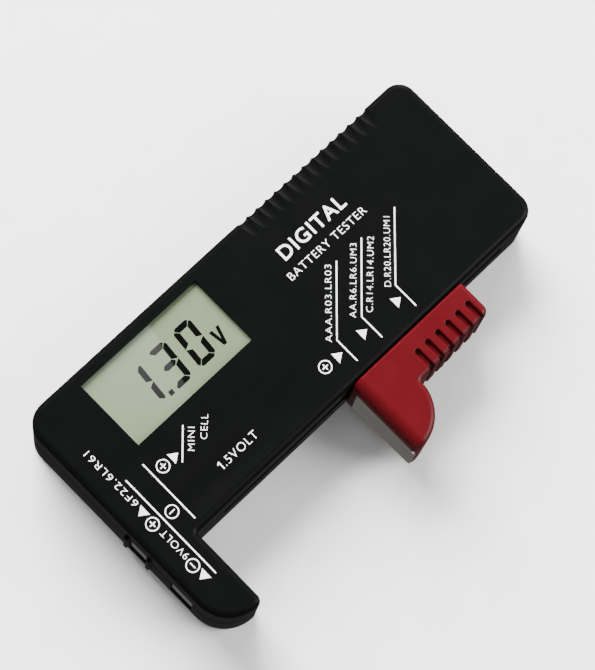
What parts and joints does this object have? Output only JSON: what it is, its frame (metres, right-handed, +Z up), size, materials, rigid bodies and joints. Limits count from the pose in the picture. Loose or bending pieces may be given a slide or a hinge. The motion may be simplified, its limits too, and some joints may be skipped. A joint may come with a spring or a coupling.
{
  "type": "battery tester",
  "caption": "Flat hand-held battery tester: two-shell case with a hooked foot, a sliding thumb jaw that grips round cells, end-wall contacts for a block battery and a liquid crystal display.",
  "frame": {"origin": "middle of the whole object's footprint, on the back face it lies on", "axes": "+Y along the case from the end with the block-battery contacts to the far end, +Z up out of the printed face, +X towards the side that the jaws stick out of"},
  "size_m": [0.0604, 0.1106, 0.017],
  "materials": {
    "white_ink": "printed white ink",
    "case_black": "fine moulded texture, black",
    "jaw_red": "satin moulded, deep red",
    "screw_steel": "black-oxide steel, bright at the recess",
    "plated_strip": "nickel-plated spring steel, brushed",
    "leaf_bronze": "bare phosphor bronze",
    "display_film": "polarising film over the grey-green liquid crystal",
    "display_glass": "clear",
    "reflector_film": "grey-green diffusing reflector",
    "elastomer": "pink striped silicone",
    "holder_plastic": "natural white",
    "board_laminate": "green lacquer",
    "resin_black": "domed epoxy",
    "chip_body": "moulded package",
    "capacitor_sleeve": "printed sleeve",
    "ferrite": "bare ferrite",
    "copper_wire": "enamelled copper",
    "resistor_coat": "beige lacquer",
    "diode_body": "black moulding",
    "ceramic_chip": "fired ceramic",
    "lead_red": "red sleeve",
    "lead_black": "black sleeve"
  },
  "bodies": {
    "case": {"front_shell": "case_black", "rear_shell": "case_black", "case_screws": "screw_steel", "board_screws": "screw_steel", "display_front_film": "display_film", "display_front_glass": "display_glass", "display_rear_glass": "display_glass", "display_reflector": "reflector_film", "display_holder": "holder_plastic", "elastomer_strip": "elastomer", "circuit_board": "board_laminate", "controller_blob": "resin_black", "converter_chip": "chip_body", "reservoir_capacitor": "capacitor_sleeve", "storage_coil": "ferrite", "coil_winding": "copper_wire", "resistors": "resistor_coat", "rectifier_diode": "diode_body", "chip_capacitors": "ceramic_chip", "block_contact_positive": "plated_strip", "block_contact_negative": "plated_strip", "foot_contact": "plated_strip", "contact_rail": "plated_strip", "lead_block_positive": "lead_red", "lead_common": "lead_black", "lead_foot": "lead_black", "lead_rail": "lead_red"},
    "jaw": {"sliding_jaw": "jaw_red", "jaw_contact": "plated_strip", "jaw_leaf_spring": "leaf_bronze"}
  },
  "joints": [
    {"name": "jaw_slide", "type": "slide", "parent": "case", "child": "jaw", "axis": [0, 1, 0], "range_m": [-0.0415, 0.0185]}
  ]
}
